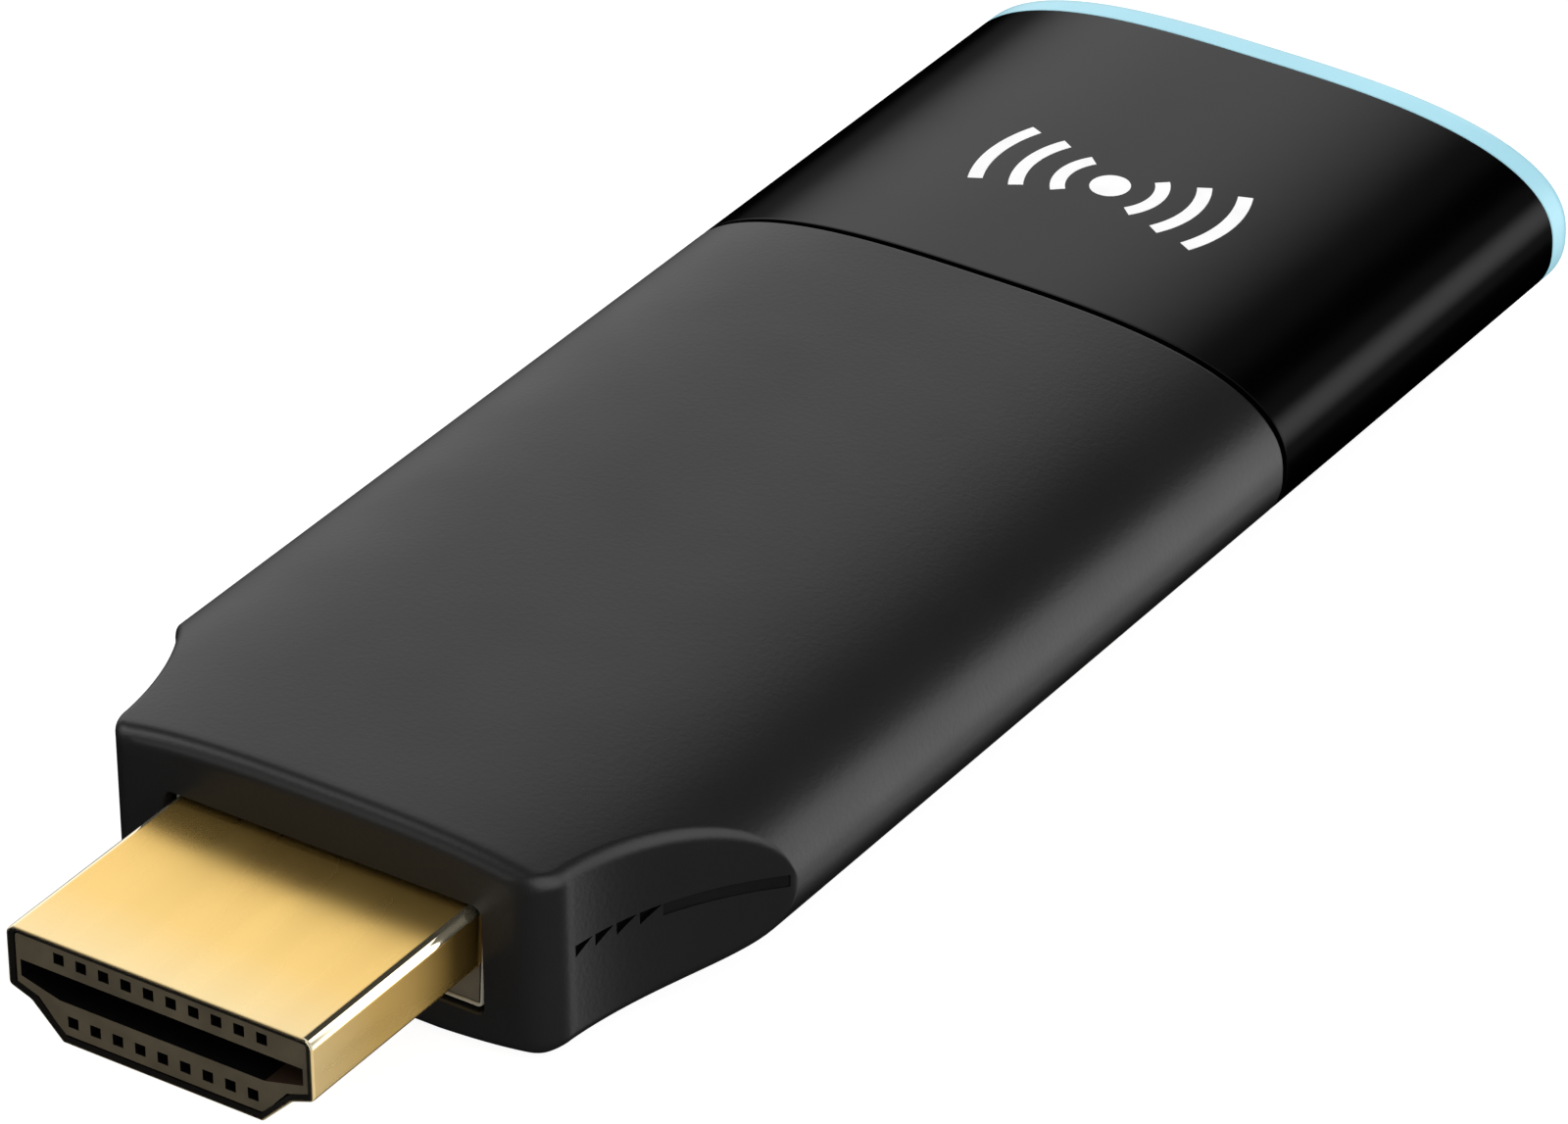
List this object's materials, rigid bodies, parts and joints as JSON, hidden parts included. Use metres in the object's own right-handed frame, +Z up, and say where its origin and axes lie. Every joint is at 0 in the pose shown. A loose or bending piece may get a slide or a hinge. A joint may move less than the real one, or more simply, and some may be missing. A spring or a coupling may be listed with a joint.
{
  "type": "streaming media player",
  "caption": "Stick-shaped streaming media player with a gold video plug at one end and a power port and reset button in the other.",
  "frame": {"origin": "centre of the whole part's plan, on the flat underside it rests on", "axes": "+X across the width, -Y the way the video plug points, +Z up through the printed top face"},
  "size_m": [0.0288, 0.0772, 0.009],
  "materials": {
    "matte_casing": "fine matte texture, dark grey",
    "gloss_cap": "polished black",
    "blue_plate": "satin light blue",
    "gold_plate": "bright gold plating",
    "plug_insulator": "dark olive-brown moulded plastic",
    "collar_steel": "nickel plated",
    "board_laminate": "green solder mask",
    "chip_epoxy": "matt black moulding",
    "heat_pad": "soft grey-blue silicone",
    "spreader_aluminium": "plain rolled sheet",
    "tinned_steel": "tin plated",
    "chip_ceramic": "fired tan ceramic",
    "button_plastic": "satin black",
    "clear_lens": "milky clear"
  },
  "bodies": {
    "casing": {"front_housing": "matte_casing", "rear_cap": "gloss_cap", "end_plate": "blue_plate", "plug_shell": "gold_plate", "plug_insulator": "plug_insulator", "plug_collar": "collar_steel", "plug_contact_upper_01": "gold_plate", "plug_contact_upper_02": "gold_plate", "plug_contact_upper_03": "gold_plate", "plug_contact_upper_04": "gold_plate", "plug_contact_upper_05": "gold_plate", "plug_contact_upper_06": "gold_plate", "plug_contact_upper_07": "gold_plate", "plug_contact_upper_08": "gold_plate", "plug_contact_upper_09": "gold_plate", "plug_contact_upper_10": "gold_plate", "plug_contact_lower_01": "gold_plate", "plug_contact_lower_02": "gold_plate", "plug_contact_lower_03": "gold_plate", "plug_contact_lower_04": "gold_plate", "plug_contact_lower_05": "gold_plate", "plug_contact_lower_06": "gold_plate", "plug_contact_lower_07": "gold_plate", "plug_contact_lower_08": "gold_plate", "plug_contact_lower_09": "gold_plate", "power_port_contact_01": "gold_plate", "power_port_contact_02": "gold_plate", "power_port_contact_03": "gold_plate", "power_port_contact_04": "gold_plate", "power_port_contact_05": "gold_plate", "main_board": "board_laminate", "processor": "chip_epoxy", "processor_heat_pad": "heat_pad", "heat_spreader": "spreader_aluminium", "memory_chip_left": "chip_epoxy", "memory_chip_right": "chip_epoxy", "flash_chip": "chip_epoxy", "radio_chip": "chip_epoxy", "radio_shield_can": "tinned_steel", "radio_crystal": "tinned_steel", "processor_crystal": "tinned_steel", "power_inductor_01": "chip_epoxy", "power_inductor_02": "chip_epoxy", "capacitor_01": "chip_ceramic", "capacitor_02": "chip_ceramic", "capacitor_03": "chip_ceramic", "capacitor_04": "chip_ceramic", "antenna_left": "chip_ceramic", "antenna_right": "chip_ceramic", "power_port_shell": "tinned_steel", "power_port_tongue": "chip_epoxy", "reset_switch_body": "chip_epoxy", "status_light": "clear_lens", "light_guide": "clear_lens"},
    "reset_button": {"reset_button": "button_plastic", "reset_switch_plunger": "button_plastic"}
  },
  "joints": [
    {"name": "reset_press", "type": "slide", "parent": "casing", "child": "reset_button", "axis": [0, -1, 0], "range_m": [0, 0.0003], "stiffness_N_per_m": 4000, "springref_m": -0.0001}
  ]
}
